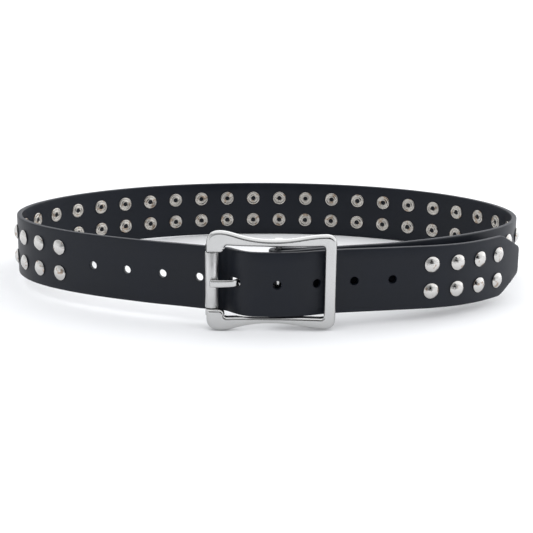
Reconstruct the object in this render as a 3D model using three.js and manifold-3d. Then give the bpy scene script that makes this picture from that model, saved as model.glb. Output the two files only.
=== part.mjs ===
// A fastened leather belt with two rows of domed studs and a centre-bar roller buckle.
// It stands on edge as a loop. Lengths are millimetres, +X right, +Y back, +Z up.
import * as THREE from "three";
import { mergeVertices } from "three/addons/utils/BufferGeometryUtils.js";
import Module from "manifold-3d";

// Strap and loop
const strapWidth = 38;
const strapThickness = 3.2;
const loopLength = 326.5;
const loopDepth = 213.4;
const clearance = 0.3;

// Holes and studs, counted along the strap
const holeCount = 9;
const buckledHole = 5;
const holePitch = 23.1;
const besideBuckledHole = 24.8;
const buckledHoleAhead = 0.6;
const holeDiameter = 4.8;
const lastHoleToMainStud = 25.1;
const lastHoleToTipStud = 23.8;
const tipStudCount = 4;
const tipStudPitch = 16.75;
const tipStudToEnd = 26.4;
const mainStudPitch = 19.41;
const sideStudPitch = 17.75;
const sideStudGaps = 5;
const plainUnderTip = 161;
const studRowGauge = 16.1;
const domeDiameter = 9.5;
const domeHeight = 2.8;
const rivetBackDiameter = 9.6;
const rivetBackHeight = 1;
const rivetDimpleDiameter = 3;
const chamferLength = 22;
const chamferHeight = 10.7;

// Buckle
const frameLength = 75.4;
const frameThickness = 5;
const buckleAcross = 3;
const barSide = 3.8;
const barDiameter = 4;
const foldRoom = 0.45;
const barRide = 1.05;
const rollerReach = 34.5;
const rollerForward = 2.5;
const rollerDiameter = 7.6;
const rollerLength = 33;
const rollerWall = 1.2;
const rollerProud = 0.9;
const axleDiameter = 4.4;
const rightBarWidth = 6.8;
const railForward = 3.5;
const archDrop = 0.9;
const openingHalfAtWaist = 20.5;
const openingHalfAtEnds = 21.3;
const leftPeakHalf = 29.45;
const waistHalf = 24.7;
const rightPeakHalf = 27.8;
const leftCornerRun = 7.8;
const rightCornerRun = 6;
const shoulderWidth = 10.4;
const shoulderCut = 2.7;
const bevelSize = 1.2;
const bossHeight = 4.5;
const lugRecess = 0.6;
const strapBehindRoller = 2.4;
const prongWidth = 3.5;
const prongTipWidth = 4.4;
const prongThickness = 2.4;
const prongEyeDiameter = 8.6;
const prongEyeWall = 1.9;
const prongRootForward = 0.6;
const prongOverrun = 0.9;
const prongEdge = 0.5;
const prongSlopeRoom = 0.27;
const prongHoleRoom = 0.4;
const prongLift = 0.1;
const flapRivetDiameter = 8;
const flapRivetShank = 3.4;
const flapRivetCap = 1;

// How finely round shapes are divided
const studSides = 10;
const holeSides = 10;
const barSides = 16;
const outlineSteps = 7;
const prongSteps = 16;
const foldSteps = 6;
const ovalSteps = 44;
const ovalStep = 9;
const passageStep = 3;
const foldStep = 1.3;

// Worked out from the sizes above
const halfThickness = strapThickness / 2;
const halfLength = loopLength / 2 - halfThickness;
const halfDepth = loopDepth / 2 - halfThickness;
const strapMiddle = strapWidth / 2;
const barRadius = barDiameter / 2;
const foldRadius = barRadius + foldRoom + halfThickness;
const tipOverBar = foldRadius + halfThickness + barRide + halfThickness;
const barDepthPlace = -loopDepth / 2 + tipOverBar + halfThickness;
const buckleMiddle = openingHalfAtWaist - clearance;
const frameLeft = -(rollerReach + rollerDiameter / 2 - rollerProud);
const frameRight = frameLeft + frameLength - rollerProud;
const rightBarInside = frameRight - rightBarWidth;
const mouthHalf = rollerLength / 2 + clearance;
const prongHeight = strapMiddle + prongLift;
const studHalf = domeDiameter / 2 + clearance;
const holeHalf = holeDiameter / 2 + 2 * clearance;

// The oval of the worn loop: its radius as a share of an ellipse of the loop's length and depth.
// Each wave turns this many times round the loop.
const ovalRoundness = 0.955;
const ovalWaves = [
  { turns: 1, side: 0.0095, depth: 0.069 },
  { turns: 2, side: 0.0255, depth: 0.021 },
  { turns: 3, side: -0.0085, depth: 0.003 },
  { turns: 4, side: 0.0145, depth: 0.004 },
  { turns: 5, side: 0.001, depth: -0.007 },
];
const ovalStart = -60;
const ovalEnd = 249;

// The strap's middle line in the buckle. across is a share of the frame's length from the
// buckle's middle; rise is a share of the climb from behind the roller to the top of the bar.
const underPassage = [
  { across: 0.119, rise: 0.61 },
  { across: 0.239, rise: 0.36 },
  { across: 0.385, rise: 0.007 },
  { across: 0.53, rise: -0.309 },
];
const tipPassage = [
  { across: -0.458, rise: 0 },
  { across: -0.341, rise: 0.17 },
  { across: -0.294, rise: 0.42 },
  { across: -0.255, rise: 0.63 },
  { across: -0.2175, rise: 0.8 },
  { across: -0.183, rise: 0.9 },
  { across: -0.134, rise: 0.975 },
  { across: -0.069, rise: 1 },
  { across: 0.005, rise: 0.985 },
  { across: 0.14, rise: 0.912 },
  { across: 0.255, rise: 0.77 },
  { across: 0.354, rise: 0.555 },
  { across: 0.416, rise: 0.4375 },
  { across: 0.525, rise: 0.26 },
];

// The tip's middle line to the right of the buckle, as shares of half the loop's length and depth.
const tipLine = [
  { side: 0.316, depth: -0.887 },
  { side: 0.471, depth: -0.838 },
  { side: 0.622, depth: -0.783 },
  { side: 0.7355, depth: -0.708 },
  { side: 0.861, depth: -0.556 },
  { side: 0.963, depth: -0.37 },
  { side: 1.02, depth: -0.21 },
];

// The prong's middle line. reach is a share of the way from the centre bar to the roller's axle;
// rise is a share of the climb from the eye to the front of the roller.
const prongLine = [
  { reach: 0.084, rise: 0 },
  { reach: 0.256, rise: 0.003 },
  { reach: 0.517, rise: 0.027 },
  { reach: 0.603, rise: 0.094 },
  { reach: 0.663, rise: 0.348 },
  { reach: 0.71, rise: 0.683 },
  { reach: 0.773, rise: 0.91 },
  { reach: 0.8825, rise: 0.984 },
  { reach: 1, rise: 1 },
];

// How much of the prong's front half is left at the last steps before its tip
const prongTipShares = [0.85, 0.35];

// The flap of the fold, as shares of the strap's line beside the buckle, from its end to the bar
const flapShares = [0.9, 0.75, 0.6, 0.42];
const flapRivetAcross = 0.32;

// Where the loop's lower edge touches the ground at the back, as a share of half its length
const backContact = 0.3;

const wasm = await Module();
wasm.setup();
const up = new THREE.Vector3(0, 0, 1);

// Solids from geometries, and back

function toSolid(geometry) {
  const bare = geometry.clone();
  bare.deleteAttribute("normal");
  bare.deleteAttribute("uv");
  const merged = mergeVertices(bare);
  const corners = merged.index.array;
  const triangles = [];
  for (let k = 0; k < corners.length; k += 3) {
    const [a, b, c] = [corners[k], corners[k + 1], corners[k + 2]];
    if (a !== b && b !== c && c !== a) triangles.push(a, b, c);
  }
  return new wasm.Manifold(new wasm.Mesh({
    numProp: 3,
    vertProperties: new Float32Array(merged.attributes.position.array),
    triVerts: new Uint32Array(triangles),
  }));
}

function toGeometry(solid) {
  const mesh = solid.getMesh();
  const geometry = new THREE.BufferGeometry();
  geometry.setAttribute("position", new THREE.BufferAttribute(mesh.vertProperties, 3));
  geometry.setIndex(new THREE.BufferAttribute(mesh.triVerts, 1));
  geometry.computeVertexNormals();
  return geometry;
}

function joined(solids) {
  return solids.reduce((sum, solid) => sum.add(solid));
}

// The strap's middle line

function ovalPoint(degrees) {
  const angle = THREE.MathUtils.degToRad(degrees);
  let share = ovalRoundness;
  for (const wave of ovalWaves) {
    share += wave.side * Math.cos(wave.turns * angle) + wave.depth * Math.sin(wave.turns * angle);
  }
  return new THREE.Vector3(share * halfLength * Math.cos(angle), share * halfDepth * Math.sin(angle), 0);
}

function inBuckle(across, forward) {
  return new THREE.Vector3(buckleAcross + across, barDepthPlace - forward, 0);
}

function passagePoint(row) {
  const low = rollerForward - rollerDiameter / 2 - strapBehindRoller - halfThickness;
  return inBuckle(row.across * frameLength, low + row.rise * (tipOverBar - low));
}

function foldPoints() {
  const points = [];
  for (let k = 0; k <= foldSteps; k += 1) {
    const angle = -Math.PI / 2 - Math.PI * k / foldSteps;
    points.push(inBuckle(barSide + foldRadius * Math.cos(angle), foldRadius * Math.sin(angle)));
  }
  return points;
}

function underPoints() {
  return underPassage.map(passagePoint);
}

// The flap leaves the back of the bar and then lies against the inner face of the strap
function flapPoints() {
  const main = new THREE.CatmullRomCurve3(underPoints(), false, "centripetal");
  const offset = strapThickness + clearance;
  const lying = flapShares.map((share) => {
    const place = main.getPoint(share);
    const along = main.getTangent(share);
    return new THREE.Vector3(place.x - along.y * offset, place.y + along.x * offset, 0);
  });
  return [...lying, inBuckle(barSide + foldRadius * 1.3, -foldRadius * 1.03)];
}

function ovalPoints() {
  const points = [];
  for (let k = 0; k <= ovalSteps; k += 1) {
    points.push(ovalPoint(ovalStart + (ovalEnd - ovalStart) * k / ovalSteps));
  }
  return points;
}

function tipPoints() {
  return tipLine.map((row) => new THREE.Vector3(row.side * halfLength, row.depth * halfDepth, 0));
}

// A line that can be asked for its point, direction and outward normal at a length along it
function measuredLine(points) {
  const places = new THREE.CatmullRomCurve3(points, false, "centripetal").getPoints(points.length * 24);
  const lengths = [0];
  for (let k = 1; k < places.length; k += 1) {
    lengths.push(lengths[k - 1] + places[k].distanceTo(places[k - 1]));
  }
  function point(length) {
    let k = lengths.findIndex((value) => value > length);
    if (k < 1) k = length <= 0 ? 1 : lengths.length - 1;
    const share = (length - lengths[k - 1]) / (lengths[k] - lengths[k - 1]);
    return new THREE.Vector3().lerpVectors(places[k - 1], places[k], share);
  }
  function outward(length) {
    const along = point(length + 0.6).sub(point(length - 0.6)).normalize();
    return new THREE.Vector3(along.y, -along.x, 0);
  }
  return { places, lengths, point, outward, total: lengths[lengths.length - 1] };
}

const line = measuredLine([
  ...flapPoints(), ...foldPoints(), ...underPoints(), ...ovalPoints(),
  ...tipPassage.map(passagePoint), ...tipPoints(),
]);

// The prong leaves its eye flat, bends forward through the strap and ends on the front of the roller
const prongOverRoller = rollerForward + rollerDiameter / 2 + clearance + prongThickness / 2 + prongSlopeRoom;
const prongPlaces = new THREE.SplineCurve([
  ...prongLine.map((row) => new THREE.Vector2(
    barSide - row.reach * (rollerReach + barSide),
    prongRootForward + row.rise * (prongOverRoller - prongRootForward),
  )),
  new THREE.Vector2(-rollerReach - prongOverrun, prongOverRoller),
]).getPoints(prongSteps);

function prongForward(across) {
  const k = Math.max(1, prongPlaces.findIndex((place) => place.x < across));
  const [right, left] = [prongPlaces[k - 1], prongPlaces[k]];
  return right.y + (across - right.x) / (left.x - right.x) * (left.y - right.y);
}

// Lengths along the strap at which it passes the bar and meets the prong
function lengthAt(test, from) {
  const k = line.places.findIndex((place, index) => line.lengths[index] > from && test(place));
  return line.lengths[k];
}

const barPlace = buckleAcross + barSide;
const behindBarLength = lengthAt((place) => place.x < barPlace, 0);
const barLength = lengthAt((place) => place.x > barPlace, behindBarLength);
const prongLength = lengthAt(
  (place) => place.x > buckleAcross - rollerReach + rollerDiameter / 2
    && barDepthPlace - place.y > prongForward(place.x - buckleAcross),
  line.total * 0.7,
);
const holeLengths = Array.from({ length: holeCount }, (unused, k) => {
  const gaps = k - buckledHole + 1;
  const spread = Math.sign(gaps) * (besideBuckledHole - holePitch);
  return prongLength + buckledHoleAhead + gaps * holePitch + spread;
});
const plainHoleLengths = holeLengths.filter((unused, k) => k !== buckledHole - 1);
const firstTipStud = holeLengths[holeCount - 1] + lastHoleToTipStud;
const tipStudLengths = Array.from({ length: tipStudCount }, (unused, k) => firstTipStud + k * tipStudPitch);
const strapEnd = tipStudLengths[tipStudCount - 1] + tipStudToEnd;
const lastMainStud = holeLengths[0] - lastHoleToMainStud;
const lastSideStud = lastMainStud - sideStudGaps * sideStudPitch;
const mainStudGaps = Math.floor((lastSideStud - barLength - plainUnderTip) / mainStudPitch);
const mainStudLengths = [
  ...Array.from({ length: sideStudGaps }, (unused, k) => lastMainStud - k * sideStudPitch),
  ...Array.from({ length: mainStudGaps + 1 }, (unused, k) => lastSideStud - k * mainStudPitch),
];
const studLengths = [...mainStudLengths, ...tipStudLengths];
const studHeights = [strapMiddle - studRowGauge / 2, strapMiddle + studRowGauge / 2];
const flapRivetLength = lengthAt((place) => place.x > buckleAcross + flapRivetAcross * frameLength, barLength);

// The strap is flat under each stud and at each hole, and is divided evenly between them
function flatStretches() {
  const flats = [
    ...studLengths.map((length) => [length - studHalf, length + studHalf]),
    ...plainHoleLengths.map((length) => [length - holeHalf, length + holeHalf]),
  ];
  return flats.sort((a, b) => a[0] - b[0]);
}

function stepAt(length) {
  const place = line.point(length);
  if (length < barLength + foldRadius && place.x < barPlace + foldRadius) return foldStep;
  return place.y < 0 && Math.abs(place.x - buckleAcross) < frameLength / 2 ? passageStep : ovalStep;
}

function strapStations() {
  const stations = [];
  let from = 0;
  for (const [start, end] of [...flatStretches(), [strapEnd, strapEnd]]) {
    let mark = from;
    while (mark < start - stepAt(mark) / 2) {
      stations.push(mark);
      mark += stepAt(mark);
    }
    stations.push(start);
    from = end;
  }
  return stations;
}

function edgePoint(length, side) {
  return line.point(length).addScaledVector(line.outward(length), side * halfThickness);
}

function strapBlank() {
  const stations = strapStations();
  const outline = [
    ...stations.map((length) => edgePoint(length, 1)),
    ...stations.reverse().map((length) => edgePoint(length, -1)),
  ];
  const shape = new THREE.Shape(outline.map((place) => new THREE.Vector2(place.x, place.y)));
  return toSolid(new THREE.ExtrudeGeometry(shape, { depth: strapWidth, bevelEnabled: false }));
}

// A place on the strap: local Y points out of its outer face, local Z up
function strapPlace(length, half, height) {
  const chord = edgePoint(length + half, 1).sub(edgePoint(length - half, 1)).normalize();
  const middle = edgePoint(length + half, 1).add(edgePoint(length - half, 1))
    .add(edgePoint(length + half, -1)).add(edgePoint(length - half, -1)).multiplyScalar(0.25);
  const outward = new THREE.Vector3(chord.y, -chord.x, 0);
  return new THREE.Matrix4()
    .makeBasis(new THREE.Vector3().crossVectors(outward, up), outward, up)
    .setPosition(middle.x, middle.y, height);
}

function lathe(rows, sides) {
  return new THREE.LatheGeometry(rows.map(([radius, along]) => new THREE.Vector2(radius, along)), sides);
}

// One stud: a dome outside, a low rivet back with a dimple inside
function studSolids(length) {
  const seat = 0.5;
  const dome = lathe([
    [0, halfThickness - seat],
    [domeDiameter / 2, halfThickness - seat],
    [domeDiameter * 0.36, halfThickness + domeHeight * 0.68],
    [0, halfThickness + domeHeight],
  ], studSides);
  const back = lathe([
    [0, -halfThickness - rivetBackHeight * 0.1],
    [rivetDimpleDiameter / 2, -halfThickness - rivetBackHeight],
    [rivetBackDiameter / 2 - 0.5, -halfThickness - rivetBackHeight],
    [rivetBackDiameter / 2, -halfThickness + seat],
    [0, -halfThickness + seat],
  ], studSides);
  return studHeights.flatMap((height) => {
    const place = strapPlace(length, studHalf, height);
    return [toSolid(dome.clone().applyMatrix4(place)), toSolid(back.clone().applyMatrix4(place))];
  });
}

// The cutters stand across the strap

function holeCutter(length, diameter, height, from, to) {
  const cutter = new THREE.CylinderGeometry(diameter / 2, diameter / 2, to - from, holeSides);
  cutter.translate(0, (from + to) / 2, 0);
  return toSolid(cutter.applyMatrix4(strapPlace(length, diameter / 2 + 0.6, height)));
}

// The hole in use is worn long by the prong
function wornHole() {
  const radius = (prongWidth + prongTipWidth) / 4 + prongHoleRoom;
  const slope = holeDiameter * 0.42;
  const shape = new THREE.Shape();
  shape.absarc(-slope, 0, radius, Math.PI / 2, 3 * Math.PI / 2);
  shape.absarc(slope, 0, radius, -Math.PI / 2, Math.PI / 2);
  const cutter = new THREE.ExtrudeGeometry(shape, {
    depth: strapThickness * 3, bevelEnabled: false, curveSegments: 5,
  });
  cutter.translate(0, 0, -strapThickness * 1.5);
  cutter.rotateX(Math.PI / 2);
  return toSolid(cutter.applyMatrix4(strapPlace(prongLength, radius, prongHeight)));
}

// The slot in the fold, for the prong's eye
function foldSlot() {
  const left = -foldRadius - halfThickness - 1;
  const right = prongEyeDiameter / 2 + 1.5;
  const back = -foldRadius - halfThickness - 1.4;
  const front = foldRadius + halfThickness + clearance;
  const slot = new THREE.BoxGeometry(right - left, front - back, prongWidth + 4 * clearance);
  slot.translate(barPlace + (left + right) / 2, barDepthPlace - (back + front) / 2, prongHeight);
  return toSolid(slot);
}

function flapRivetHoles() {
  const inner = -1.5 * strapThickness - clearance - 1;
  return studHeights.map((height) => holeCutter(
    flapRivetLength, flapRivetShank + 3 * clearance, height, inner, halfThickness + 1,
  ));
}

// The two corners of the tip are cut off
function tipCorner(side) {
  const slope = chamferHeight / chamferLength;
  const overrun = 5;
  const shape = new THREE.Shape([
    new THREE.Vector2(overrun, strapMiddle - chamferHeight - slope * overrun),
    new THREE.Vector2(overrun, strapMiddle + overrun),
    new THREE.Vector2(-chamferLength - overrun, strapMiddle + overrun),
    new THREE.Vector2(-chamferLength - overrun, strapMiddle + slope * overrun),
  ].map((corner) => new THREE.Vector2(corner.x, corner.y * side)));
  const cutter = new THREE.ExtrudeGeometry(shape, { depth: strapThickness * 5, bevelEnabled: false });
  cutter.translate(0, 0, -strapThickness * 2.5);
  cutter.rotateX(Math.PI / 2);
  const along = line.point(strapEnd).sub(line.point(strapEnd - chamferLength)).normalize();
  const place = new THREE.Matrix4()
    .makeBasis(along, new THREE.Vector3().crossVectors(up, along), up)
    .setPosition(line.point(strapEnd).setZ(strapMiddle));
  return toSolid(cutter.applyMatrix4(place));
}

function studdedStrap() {
  const cutters = [
    ...plainHoleLengths.map((length) => holeCutter(
      length, holeDiameter, strapMiddle, -strapThickness, strapThickness,
    )),
    wornHole(),
    foldSlot(),
    ...flapRivetHoles(),
    tipCorner(1),
    tipCorner(-1),
  ];
  const punched = strapBlank().subtract(joined(cutters));
  return joined([punched, ...studLengths.flatMap(studSolids)]);
}

// The buckle is drawn about its own middle: x across, y up from the buckle's middle, then turned so
// that the thickness points forward.

function upperEdge() {
  const leftPeak = frameLeft + leftCornerRun;
  const rightPeak = frameRight - rightCornerRun;
  const waist = frameLength * 0.013;
  const path = new THREE.Path();
  path.moveTo(frameLeft, mouthHalf);
  path.lineTo(frameLeft, leftPeakHalf - leftCornerRun * 0.9);
  path.bezierCurveTo(
    frameLeft, leftPeakHalf - leftCornerRun * 0.33,
    frameLeft + leftCornerRun * 0.38, leftPeakHalf,
    leftPeak, leftPeakHalf,
  );
  path.bezierCurveTo(
    leftPeak + frameLength * 0.106, leftPeakHalf,
    leftPeak + frameLength * 0.16, waistHalf,
    waist, waistHalf,
  );
  path.bezierCurveTo(
    frameLength * 0.186, waistHalf, frameLength * 0.28, rightPeakHalf, rightPeak, rightPeakHalf,
  );
  path.bezierCurveTo(
    frameRight - rightCornerRun * 0.33, rightPeakHalf,
    frameRight, rightPeakHalf - rightCornerRun * 0.33,
    frameRight, rightPeakHalf - rightCornerRun,
  );
  return path.getPoints(outlineSteps);
}

function upperOpening() {
  const inside = frameLeft + shoulderWidth;
  const path = new THREE.Path();
  path.moveTo(rightBarInside, openingHalfAtEnds);
  path.bezierCurveTo(
    frameLength * 0.16, openingHalfAtWaist, -frameLength * 0.16, openingHalfAtWaist, inside, openingHalfAtEnds,
  );
  path.lineTo(inside, mouthHalf + shoulderCut);
  path.lineTo(inside - shoulderCut, mouthHalf);
  return path.getPoints(outlineSteps);
}

function lowered(points) {
  return points.map((point) => new THREE.Vector2(point.x, -point.y)).reverse();
}

function turnForward(geometry) {
  return geometry.rotateX(Math.PI / 2);
}

function uprightCylinder(radius, length, across, forward, height, sides) {
  const cylinder = new THREE.CylinderGeometry(radius, radius, length, sides);
  cylinder.rotateX(Math.PI / 2);
  return toSolid(cylinder.translate(across, -forward, height));
}

function archedPlate() {
  const edge = upperEdge();
  const opening = upperOpening();
  const shape = new THREE.Shape([...edge, ...lowered(edge), ...lowered(opening), ...opening]);
  const plate = new THREE.ExtrudeGeometry(shape, {
    depth: frameThickness - 2 * bevelSize,
    bevelThickness: bevelSize,
    bevelSize,
    bevelOffset: -bevelSize,
    bevelSegments: 1,
  });
  plate.translate(0, 0, railForward + bevelSize);
  const places = plate.attributes.position;
  for (let k = 0; k < places.count; k += 1) {
    const share = places.getX(k) / frameRight;
    places.setZ(k, places.getZ(k) - archDrop * share * share);
  }
  return toSolid(turnForward(plate));
}

function barLug(side) {
  const height = waistHalf - openingHalfAtWaist - lugRecess;
  const back = -barRadius;
  const front = railForward + frameThickness / 2;
  const lug = new THREE.BoxGeometry(barDiameter + 1, front - back, height);
  lug.translate(barSide, -(back + front) / 2, side * (openingHalfAtWaist + height / 2));
  return toSolid(lug);
}

function buckleFrame() {
  const bossRadius = rollerDiameter / 2 - 0.1;
  const bossPlace = mouthHalf + bossHeight / 2;
  return joined([
    archedPlate(),
    uprightCylinder(bossRadius, bossHeight, -rollerReach, rollerForward, bossPlace, barSides),
    uprightCylinder(bossRadius, bossHeight, -rollerReach, rollerForward, -bossPlace, barSides),
    uprightCylinder(axleDiameter / 2, 2 * mouthHalf + 2, -rollerReach, rollerForward, 0, barSides),
    uprightCylinder(barRadius, 2 * openingHalfAtWaist + 2, barSide, 0, 0, barSides),
    barLug(1),
    barLug(-1),
  ]);
}

function roller() {
  const outer = rollerDiameter / 2;
  const inner = outer - rollerWall;
  const half = rollerLength / 2;
  const edge = 0.4;
  const tube = lathe([
    [inner, -half], [outer - edge, -half], [outer, edge - half],
    [outer, half - edge], [outer - edge, half], [inner, half], [inner, -half],
  ], barSides);
  tube.rotateX(Math.PI / 2);
  return toSolid(tube.translate(-rollerReach, -rollerForward, 0));
}

function prongShank() {
  const half = prongThickness / 2;
  const sides = prongPlaces.map((place, k) => {
    const before = prongPlaces[Math.max(0, k - 1)];
    const after = prongPlaces[Math.min(prongSteps, k + 1)];
    const along = after.clone().sub(before).normalize();
    const normal = new THREE.Vector2(along.y, -along.x).multiplyScalar(half);
    const share = prongTipShares[k - prongSteps - 1 + prongTipShares.length] ?? 1;
    return { front: place.clone().addScaledVector(normal, share), back: place.clone().sub(normal) };
  });
  const shape = new THREE.Shape([
    ...sides.map((side) => side.front),
    ...sides.reverse().map((side) => side.back),
  ]);
  const shank = new THREE.ExtrudeGeometry(shape, {
    depth: prongWidth - 2 * prongEdge,
    bevelThickness: prongEdge,
    bevelSize: prongEdge,
    bevelOffset: -prongEdge,
    bevelSegments: 1,
  });
  shank.translate(0, 0, prongEdge - prongWidth / 2);
  const places = shank.attributes.position;
  for (let k = 0; k < places.count; k += 1) {
    const share = Math.min(1, Math.max(0, -places.getX(k) / rollerReach));
    places.setZ(k, places.getZ(k) * (1 + (prongTipWidth / prongWidth - 1) * share));
  }
  return shank;
}

// The shank and its eye lie in the plan, so forward is turned to -Y by a mirror of both axes
function prong() {
  const eyeHoleRadius = prongEyeDiameter / 2 - prongEyeWall;
  const ring = new THREE.Shape();
  ring.absarc(0, 0, prongEyeDiameter / 2, 0, 2 * Math.PI);
  const eye = new THREE.ExtrudeGeometry(ring, {
    depth: prongWidth, bevelEnabled: false, curveSegments: barSides,
  });
  eye.translate(barSide, 0, -prongWidth / 2);
  const blank = toSolid(eye).add(toSolid(prongShank()));
  const hole = new THREE.CylinderGeometry(eyeHoleRadius, eyeHoleRadius, 2 * prongWidth, barSides);
  hole.rotateX(Math.PI / 2);
  hole.translate(barSide, 0, 0);
  return blank.subtract(toSolid(hole));
}

function flapRivet() {
  const radius = flapRivetDiameter / 2;
  const shank = flapRivetShank / 2;
  const outer = halfThickness + 1.2 * clearance;
  const inner = -halfThickness - strapThickness - 2.6 * clearance;
  return lathe([
    [0, inner - flapRivetCap],
    [radius - 0.5, inner - flapRivetCap],
    [radius, inner],
    [shank, inner],
    [shank, outer],
    [radius, outer],
    [radius - 0.5, outer + flapRivetCap],
    [0, outer + flapRivetCap],
  ], 12);
}

// Materials

const blackLeather = new THREE.MeshStandardMaterial({ color: 0x24262a, roughness: 0.5, metalness: 0 });
const nickel = new THREE.MeshStandardMaterial({ color: 0xc9c9c6, roughness: 0.25, metalness: 1 });

function named(name, geometry, material) {
  const mesh = new THREE.Mesh(geometry, material);
  mesh.name = name;
  return mesh;
}

// The finished belt, first standing square in its own frame

function buckleGroup() {
  const group = new THREE.Group();
  group.position.set(buckleAcross, barDepthPlace, buckleMiddle);
  group.add(named("buckle_frame", toGeometry(buckleFrame()), nickel));
  group.add(named("roller", toGeometry(roller()), nickel));
  const pin = named("prong", toGeometry(prong()), nickel);
  pin.rotation.x = Math.PI;
  pin.position.z = prongHeight - buckleMiddle;
  group.add(pin);
  return group;
}

function squareBelt() {
  const group = new THREE.Group();
  group.add(named("studded_strap", toGeometry(studdedStrap()), blackLeather));
  group.add(buckleGroup());
  const names = ["flap_rivet_lower", "flap_rivet_upper"];
  studHeights.forEach((height, k) => {
    const rivet = toGeometry(toSolid(flapRivet().applyMatrix4(strapPlace(flapRivetLength, 0.6, height))));
    group.add(named(names[k], rivet, nickel));
  });
  return group;
}

// The buckle's lower corners hang below the strap, so the loop rests on the left one and on the
// strap's lower edge at the back. This gives the ground's upward normal in the belt's own frame.
function groundNormal(belt) {
  belt.updateMatrixWorld(true);
  const frame = belt.getObjectByName("buckle_frame");
  const contactAt = backContact * halfLength;
  const contact = mainStudLengths.map((length) => strapPlace(length, studHalf, 0))
    .map((place) => ({
      edge: new THREE.Vector3(0, halfThickness, 0).applyMatrix4(place),
      along: new THREE.Vector3(1, 0, 0).transformDirection(place),
    }))
    .filter(({ edge }) => edge.y > 0)
    .sort((a, b) => Math.abs(a.edge.x - contactAt) - Math.abs(b.edge.x - contactAt))[0];
  const normal = up.clone();
  const corner = new THREE.Vector3();
  for (let round = 0; round < 4; round += 1) {
    let lowest = Infinity;
    const places = frame.geometry.attributes.position;
    for (let k = 0; k < places.count; k += 1) {
      const place = new THREE.Vector3().fromBufferAttribute(places, k).applyMatrix4(frame.matrixWorld);
      if (place.dot(normal) < lowest) {
        lowest = place.dot(normal);
        corner.copy(place);
      }
    }
    normal.crossVectors(contact.along, corner.clone().sub(contact.edge)).normalize();
    if (normal.z < 0) normal.negate();
  }
  return normal;
}

function restingBelt() {
  const belt = squareBelt();
  belt.quaternion.setFromUnitVectors(groundNormal(belt), up);
  const box = new THREE.Box3().setFromObject(belt, true);
  belt.position.set(-(box.min.x + box.max.x) / 2, -(box.min.y + box.max.y) / 2, -box.min.z);
  const placed = new THREE.Group();
  placed.add(belt);
  return placed;
}

export default restingBelt();
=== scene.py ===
# %% [markdown]
# # A fastened studded belt
#
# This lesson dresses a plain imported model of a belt. The belt stands on edge as a loop, with a roller
# buckle at the front and two rows of domed studs round it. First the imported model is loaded. It says
# where everything is, in metres, with X to the right, Y to the back and Z up.

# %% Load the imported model
import bisect
import math
import random

import bmesh
import bpy
from mathutils import Matrix, Quaternion, Vector
from mathutils.geometry import interpolate_bezier


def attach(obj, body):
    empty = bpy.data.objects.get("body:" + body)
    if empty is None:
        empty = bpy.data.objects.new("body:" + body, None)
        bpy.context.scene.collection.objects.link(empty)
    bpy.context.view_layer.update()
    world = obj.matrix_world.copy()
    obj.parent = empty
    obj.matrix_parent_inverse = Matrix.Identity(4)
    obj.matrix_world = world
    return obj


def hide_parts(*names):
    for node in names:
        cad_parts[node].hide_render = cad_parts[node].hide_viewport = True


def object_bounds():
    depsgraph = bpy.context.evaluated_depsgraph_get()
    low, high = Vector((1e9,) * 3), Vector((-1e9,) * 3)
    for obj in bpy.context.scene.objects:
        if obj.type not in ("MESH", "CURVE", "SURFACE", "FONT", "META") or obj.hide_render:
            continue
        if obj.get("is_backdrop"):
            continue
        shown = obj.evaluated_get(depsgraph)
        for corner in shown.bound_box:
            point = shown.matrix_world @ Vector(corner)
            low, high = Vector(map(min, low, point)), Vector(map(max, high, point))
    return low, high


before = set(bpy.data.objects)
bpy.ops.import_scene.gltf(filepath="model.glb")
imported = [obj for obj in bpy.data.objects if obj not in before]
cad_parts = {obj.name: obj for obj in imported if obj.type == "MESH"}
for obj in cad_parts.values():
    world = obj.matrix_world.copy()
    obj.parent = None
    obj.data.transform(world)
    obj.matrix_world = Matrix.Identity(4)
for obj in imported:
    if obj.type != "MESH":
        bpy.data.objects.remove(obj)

cad_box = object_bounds()
print("nodes:", ", ".join(sorted(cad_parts)))

# %% [markdown]
# The belt rests on the buckle's lower left corner and on its own lower edge at the back, so it leans a
# little. Everything below is drawn for a belt that stands square, in millimetres. One matrix then
# leans it, moves it and turns millimetres into metres.

# %% The lean of the resting belt
lean = Quaternion((0.99976766, -0.02128124, 0.0034253, 0))
shift = Vector((-0.838, -2.21291, 4.76451))
rest = Matrix.Scale(0.001, 4) @ Matrix.Translation(shift) @ lean.to_matrix().to_4x4()
print("lean in degrees:", round(math.degrees(lean.angle), 2))

# %% [markdown]
# The camera stands three quarters of a metre in front of the buckle and looks slightly down. A long
# lens keeps the loop from looking stretched.

# %% The camera
camera_place = Vector((0, -762.8, 203.3))
looks_down = 14.78
camera_roll = 0.72
lens_length = 80.7

camera = bpy.data.objects.new("camera", bpy.data.cameras.new("camera"))
bpy.context.scene.collection.objects.link(camera)
bpy.context.scene.camera = camera
camera.data.lens = lens_length
camera.data.sensor_width = 36
camera.data.clip_start = 0.01
camera.data.clip_end = 50
turned = (
    lean.to_matrix().to_4x4()
    @ Matrix.Rotation(math.radians(90 - looks_down), 4, "X")
    @ Matrix.Rotation(math.radians(camera_roll), 4, "Z")
)
camera.matrix_world = Matrix.Translation(rest @ camera_place) @ turned
print("camera at", [round(value, 3) for value in camera.matrix_world.translation])

# %% [markdown]
# ## Sizes
#
# These are the belt's own sizes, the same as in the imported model.

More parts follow.
